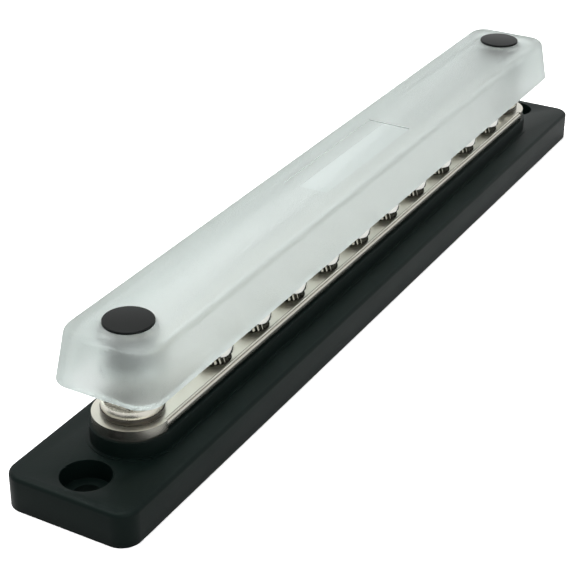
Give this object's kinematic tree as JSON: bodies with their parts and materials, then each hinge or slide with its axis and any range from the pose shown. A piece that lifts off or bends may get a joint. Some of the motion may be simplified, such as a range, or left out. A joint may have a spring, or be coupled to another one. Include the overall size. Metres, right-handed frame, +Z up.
{
  "type": "bus bar",
  "caption": "Covered distribution bus bar with a row of terminal screws, a threaded stud at each end and a black moulded mounting base.",
  "frame": {"origin": "middle of the base's underside", "axes": "+X along the bar to the right-hand stud, +Y across it, +Z up from the mounting surface"},
  "size_m": [0.217, 0.028, 0.0322],
  "materials": {
    "black_plastic": "satin moulded black plastic",
    "plated_strip": "bright nickel plating on a brass strip",
    "plated_steel": "bright plated stud hardware",
    "screw_plating": "bright plated screws",
    "frosted_cover": "frosted translucent moulded plastic",
    "cap_plastic": "smooth black plastic"
  },
  "bodies": {
    "mounted_base": {"base": "black_plastic", "bus_bar": "plated_strip", "stud_left": "plated_steel", "stud_right": "plated_steel", "flat_washer_left": "plated_steel", "flat_washer_right": "plated_steel"},
    "cover_body": {"cover": "frosted_cover"},
    "cap_left_body": {"cap_left": "cap_plastic"},
    "lock_washer_left_body": {"lock_washer_left": "plated_steel"},
    "nut_left_body": {"nut_left": "plated_steel"},
    "cap_right_body": {"cap_right": "cap_plastic"},
    "lock_washer_right_body": {"lock_washer_right": "plated_steel"},
    "nut_right_body": {"nut_right": "plated_steel"},
    "terminal_screw_01_body": {"terminal_screw_01": "screw_plating"},
    "terminal_screw_02_body": {"terminal_screw_02": "screw_plating"},
    "terminal_screw_03_body": {"terminal_screw_03": "screw_plating"},
    "terminal_screw_04_body": {"terminal_screw_04": "screw_plating"},
    "terminal_screw_05_body": {"terminal_screw_05": "screw_plating"},
    "terminal_screw_06_body": {"terminal_screw_06": "screw_plating"},
    "terminal_screw_07_body": {"terminal_screw_07": "screw_plating"},
    "terminal_screw_08_body": {"terminal_screw_08": "screw_plating"},
    "terminal_screw_09_body": {"terminal_screw_09": "screw_plating"},
    "terminal_screw_10_body": {"terminal_screw_10": "screw_plating"},
    "terminal_screw_11_body": {"terminal_screw_11": "screw_plating"},
    "terminal_screw_12_body": {"terminal_screw_12": "screw_plating"},
    "terminal_screw_13_body": {"terminal_screw_13": "screw_plating"},
    "terminal_screw_14_body": {"terminal_screw_14": "screw_plating"},
    "terminal_screw_15_body": {"terminal_screw_15": "screw_plating"},
    "terminal_screw_16_body": {"terminal_screw_16": "screw_plating"},
    "terminal_screw_17_body": {"terminal_screw_17": "screw_plating"},
    "terminal_screw_18_body": {"terminal_screw_18": "screw_plating"},
    "terminal_screw_19_body": {"terminal_screw_19": "screw_plating"},
    "terminal_screw_20_body": {"terminal_screw_20": "screw_plating"}
  },
  "joints": [
    {"name": "cover_lift", "type": "slide", "parent": "mounted_base", "child": "cover_body", "axis": [0, 0, 1], "range_m": [0, 0.012]},
    {"name": "cap_left_pull", "type": "slide", "parent": "cover_body", "child": "cap_left_body", "axis": [0, 0, 1], "range_m": [0, 0.009]},
    {"name": "nut_left_rise", "type": "slide", "parent": "mounted_base", "child": "lock_washer_left_body", "axis": [0, 0, 1], "range_m": [0, 0.002]},
    {"name": "nut_left_turn", "type": "hinge", "parent": "lock_washer_left_body", "child": "nut_left_body", "pos_m": [-0.086, 0, 0.0158], "axis": [0, 0, 1], "range_deg": [0, 720]},
    {"name": "cap_right_pull", "type": "slide", "parent": "cover_body", "child": "cap_right_body", "axis": [0, 0, 1], "range_m": [0, 0.009]},
    {"name": "nut_right_rise", "type": "slide", "parent": "mounted_base", "child": "lock_washer_right_body", "axis": [0, 0, 1], "range_m": [0, 0.002]},
    {"name": "nut_right_turn", "type": "hinge", "parent": "lock_washer_right_body", "child": "nut_right_body", "pos_m": [0.086, 0, 0.0158], "axis": [0, 0, 1], "range_deg": [0, 720]},
    {"name": "terminal_screw_01_lift", "type": "slide", "parent": "mounted_base", "child": "terminal_screw_01_body", "axis": [0, 0, 1], "range_m": [0, 0.0035]},
    {"name": "terminal_screw_02_lift", "type": "slide", "parent": "mounted_base", "child": "terminal_screw_02_body", "axis": [0, 0, 1], "range_m": [0, 0.0035]},
    {"name": "terminal_screw_03_lift", "type": "slide", "parent": "mounted_base", "child": "terminal_screw_03_body", "axis": [0, 0, 1], "range_m": [0, 0.0035]},
    {"name": "terminal_screw_04_lift", "type": "slide", "parent": "mounted_base", "child": "terminal_screw_04_body", "axis": [0, 0, 1], "range_m": [0, 0.0035]},
    {"name": "terminal_screw_05_lift", "type": "slide", "parent": "mounted_base", "child": "terminal_screw_05_body", "axis": [0, 0, 1], "range_m": [0, 0.0035]},
    {"name": "terminal_screw_06_lift", "type": "slide", "parent": "mounted_base", "child": "terminal_screw_06_body", "axis": [0, 0, 1], "range_m": [0, 0.0035]},
    {"name": "terminal_screw_07_lift", "type": "slide", "parent": "mounted_base", "child": "terminal_screw_07_body", "axis": [0, 0, 1], "range_m": [0, 0.0035]},
    {"name": "terminal_screw_08_lift", "type": "slide", "parent": "mounted_base", "child": "terminal_screw_08_body", "axis": [0, 0, 1], "range_m": [0, 0.0035]},
    {"name": "terminal_screw_09_lift", "type": "slide", "parent": "mounted_base", "child": "terminal_screw_09_body", "axis": [0, 0, 1], "range_m": [0, 0.0035]},
    {"name": "terminal_screw_10_lift", "type": "slide", "parent": "mounted_base", "child": "terminal_screw_10_body", "axis": [0, 0, 1], "range_m": [0, 0.0035]},
    {"name": "terminal_screw_11_lift", "type": "slide", "parent": "mounted_base", "child": "terminal_screw_11_body", "axis": [0, 0, 1], "range_m": [0, 0.0035]},
    {"name": "terminal_screw_12_lift", "type": "slide", "parent": "mounted_base", "child": "terminal_screw_12_body", "axis": [0, 0, 1], "range_m": [0, 0.0035]},
    {"name": "terminal_screw_13_lift", "type": "slide", "parent": "mounted_base", "child": "terminal_screw_13_body", "axis": [0, 0, 1], "range_m": [0, 0.0035]},
    {"name": "terminal_screw_14_lift", "type": "slide", "parent": "mounted_base", "child": "terminal_screw_14_body", "axis": [0, 0, 1], "range_m": [0, 0.0035]},
    {"name": "terminal_screw_15_lift", "type": "slide", "parent": "mounted_base", "child": "terminal_screw_15_body", "axis": [0, 0, 1], "range_m": [0, 0.0035]},
    {"name": "terminal_screw_16_lift", "type": "slide", "parent": "mounted_base", "child": "terminal_screw_16_body", "axis": [0, 0, 1], "range_m": [0, 0.0035]},
    {"name": "terminal_screw_17_lift", "type": "slide", "parent": "mounted_base", "child": "terminal_screw_17_body", "axis": [0, 0, 1], "range_m": [0, 0.0035]},
    {"name": "terminal_screw_18_lift", "type": "slide", "parent": "mounted_base", "child": "terminal_screw_18_body", "axis": [0, 0, 1], "range_m": [0, 0.0035]},
    {"name": "terminal_screw_19_lift", "type": "slide", "parent": "mounted_base", "child": "terminal_screw_19_body", "axis": [0, 0, 1], "range_m": [0, 0.0035]},
    {"name": "terminal_screw_20_lift", "type": "slide", "parent": "mounted_base", "child": "terminal_screw_20_body", "axis": [0, 0, 1], "range_m": [0, 0.0035]}
  ],
  "couplings": [
    {"joint": "nut_left_turn", "follows": "nut_left_rise", "rad_per_m": 6283.2},
    {"joint": "nut_right_turn", "follows": "nut_right_rise", "rad_per_m": 6283.2}
  ]
}
